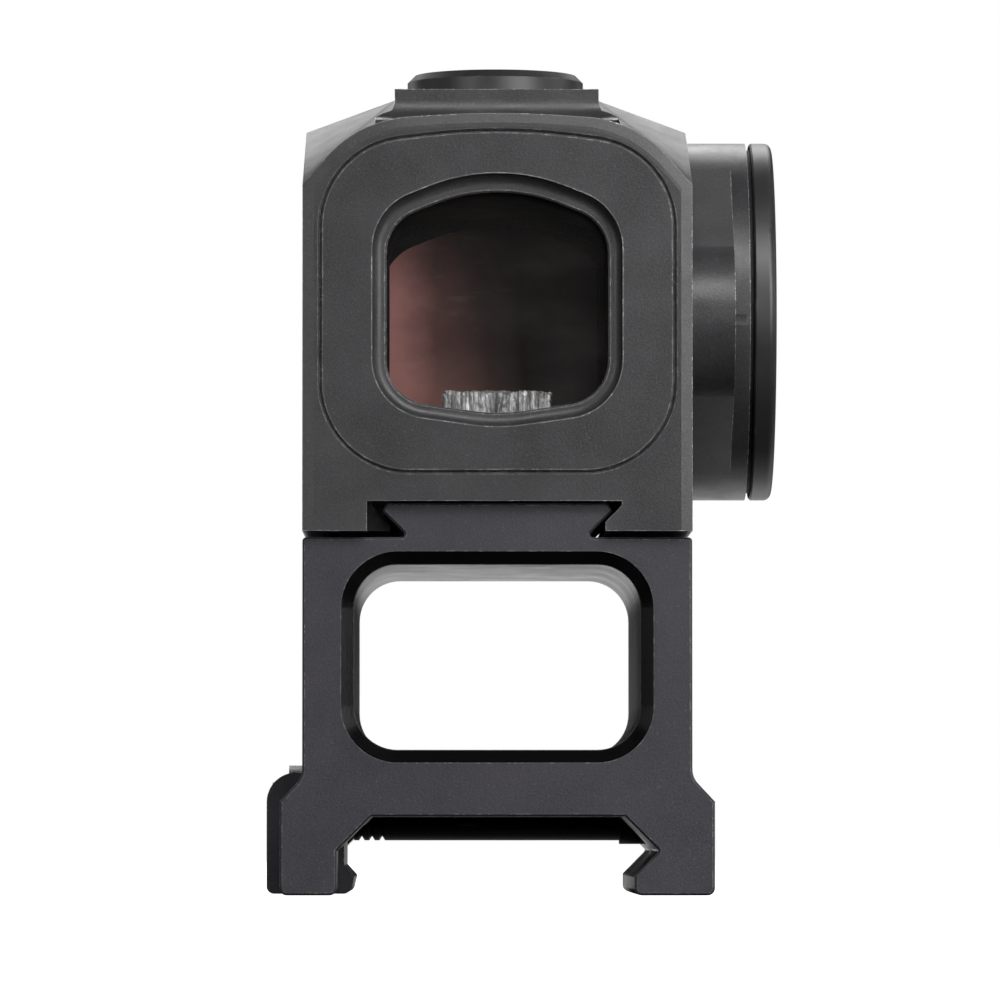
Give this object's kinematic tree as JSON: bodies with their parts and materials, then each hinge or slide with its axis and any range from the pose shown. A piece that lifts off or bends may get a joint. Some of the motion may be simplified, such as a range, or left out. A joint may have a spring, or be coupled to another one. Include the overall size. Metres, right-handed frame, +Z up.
{
  "type": "enclosed red dot sight on riser mount",
  "caption": "Compact enclosed red dot sight with side battery cap and top elevation dial, on a windowed riser that clamps to a cross-slotted rail.",
  "frame": {"origin": "centre of the flat face that rests on the rail", "axes": "+Z up out of the rail, +X to the battery side, +Y towards the target, along the line of sight"},
  "size_m": [0.0346, 0.047, 0.0567],
  "materials": {
    "anodised_body": "hard anodised black, bead blasted, satin",
    "anodised_mount": "hard anodised black, slightly warmer, satin",
    "anodised_trim": "hard anodised black, turned, semi gloss",
    "black_steel": "black oxide steel",
    "bare_metal": "machined, unfinished",
    "clear_glass": "anti-reflection coated",
    "coated_glass": "red reflecting coating",
    "seal_rubber": "black rubber",
    "key_rubber": "moulded black rubber",
    "board_green": "green solder mask",
    "spring_brass": "spring bronze",
    "cell_steel": "plated steel can",
    "led_clear": "clear red epoxy"
  },
  "bodies": {
    "sight": {"sight_housing": "anodised_body", "rear_bezel": "anodised_body", "front_bezel": "anodised_body", "rear_lens": "clear_glass", "front_lens": "coated_glass", "rear_lens_seal": "seal_rubber", "front_lens_seal": "seal_rubber", "carriage_spring": "spring_brass", "circuit_board": "board_green", "board_screws": "black_steel", "battery": "cell_steel", "negative_contact": "spring_brass", "positive_contact": "spring_brass", "elevation_seal": "seal_rubber", "windage_seal": "seal_rubber", "keypad": "key_rubber", "button_switches": "cell_steel", "riser_mount": "anodised_mount"},
    "cap_seal": {"battery_cap_seal": "seal_rubber"},
    "cap": {"battery_cap": "anodised_trim"},
    "elevation_knob": {"elevation_dial": "anodised_trim", "elevation_screw": "black_steel"},
    "elevation_follower": {"elevation_nut": "spring_brass"},
    "carriage": {"optics_carriage": "anodised_trim", "emitter_block": "bare_metal", "emitter_led": "led_clear"},
    "windage_knob": {"windage_screw": "anodised_trim"},
    "windage_follower": {"windage_nut": "spring_brass"},
    "plus_key": {"plus_button": "key_rubber"},
    "minus_key": {"minus_button": "key_rubber"},
    "dovetail_clamp": {"sight_clamp": "anodised_body"},
    "dovetail_screw_rear": {"sight_clamp_screw_rear": "black_steel"},
    "dovetail_screw_front": {"sight_clamp_screw_front": "black_steel"},
    "rail_jaw": {"rail_clamp": "anodised_mount"},
    "cross_bolt": {"rail_bolt": "black_steel"}
  },
  "joints": [
    {"name": "cap_unscrew_lift", "type": "slide", "parent": "sight", "child": "cap_seal", "axis": [1, 0, 0], "range_m": [0, 0.00263]},
    {"name": "cap_turn", "type": "hinge", "parent": "cap_seal", "child": "cap", "pos_m": [0.0173, 0.004, 0.0344], "axis": [1, 0, 0], "range_deg": [0, 1260.05]},
    {"name": "elevation_follower_slide", "type": "slide", "parent": "sight", "child": "elevation_follower", "axis": [0, 0, 1], "range_m": [-0.00027778, 0.00027778]},
    {"name": "elevation_turn", "type": "hinge", "parent": "sight", "child": "elevation_knob", "pos_m": [0, 0.004, 0.0492], "axis": [0, 0, 1], "range_deg": [-200.05, 200.05]},
    {"name": "windage_follower_slide", "type": "slide", "parent": "sight", "child": "windage_follower", "axis": [1, 0, 0], "range_m": [-0.00027778, 0.00027778]},
    {"name": "windage_turn", "type": "hinge", "parent": "sight", "child": "windage_knob", "pos_m": [0.0161, -0.0107, 0.0337], "axis": [1, 0, 0], "range_deg": [-200.05, 200.05]},
    {"name": "carriage_shift", "type": "slide", "parent": "elevation_follower", "child": "carriage", "axis": [1, 0, 0], "range_m": [-0.00027798, 0.00027798]},
    {"name": "plus_press", "type": "slide", "parent": "sight", "child": "plus_key", "axis": [1, 0, 0], "range_m": [0, 0.0004], "stiffness_N_per_m": 2500},
    {"name": "minus_press", "type": "slide", "parent": "sight", "child": "minus_key", "axis": [1, 0, 0], "range_m": [0, 0.0004], "stiffness_N_per_m": 2500},
    {"name": "dovetail_clamp_slide", "type": "slide", "parent": "sight", "child": "dovetail_clamp", "axis": [-1, 0, 0], "range_m": [0, 0.0008]},
    {"name": "dovetail_screw_turn", "type": "hinge", "parent": "dovetail_clamp", "child": "dovetail_screw_rear", "pos_m": [-0.0128, -0.009, 0.0203], "axis": [-1, 0, 0], "range_deg": [0, 720.05]},
    {"name": "dovetail_screw_front_turn", "type": "hinge", "parent": "dovetail_clamp", "child": "dovetail_screw_front", "pos_m": [-0.0128, 0.016, 0.0203], "axis": [-1, 0, 0], "range_deg": [0, 720.05]},
    {"name": "rail_jaw_slide", "type": "slide", "parent": "sight", "child": "rail_jaw", "axis": [-1, 0, 0], "range_m": [0, 0.0028]},
    {"name": "cross_bolt_turn", "type": "hinge", "parent": "sight", "child": "cross_bolt", "pos_m": [0.0145, 0, 0.0004], "axis": [1, 0, 0], "range_deg": [0, 1440.05]}
  ],
  "couplings": [
    {"joint": "cap_turn", "follows": "cap_unscrew_lift", "rad_per_m": 8377.6},
    {"joint": "elevation_turn", "follows": "elevation_follower_slide", "rad_per_m": -12566},
    {"joint": "windage_turn", "follows": "windage_follower_slide", "rad_per_m": -12566},
    {"joint": "carriage_shift", "follows": "windage_follower_slide", "ratio": 1},
    {"joint": "dovetail_screw_turn", "follows": "dovetail_clamp_slide", "rad_per_m": 15708},
    {"joint": "dovetail_screw_front_turn", "follows": "dovetail_clamp_slide", "rad_per_m": 15708},
    {"joint": "cross_bolt_turn", "follows": "rail_jaw_slide", "rad_per_m": 8976}
  ]
}
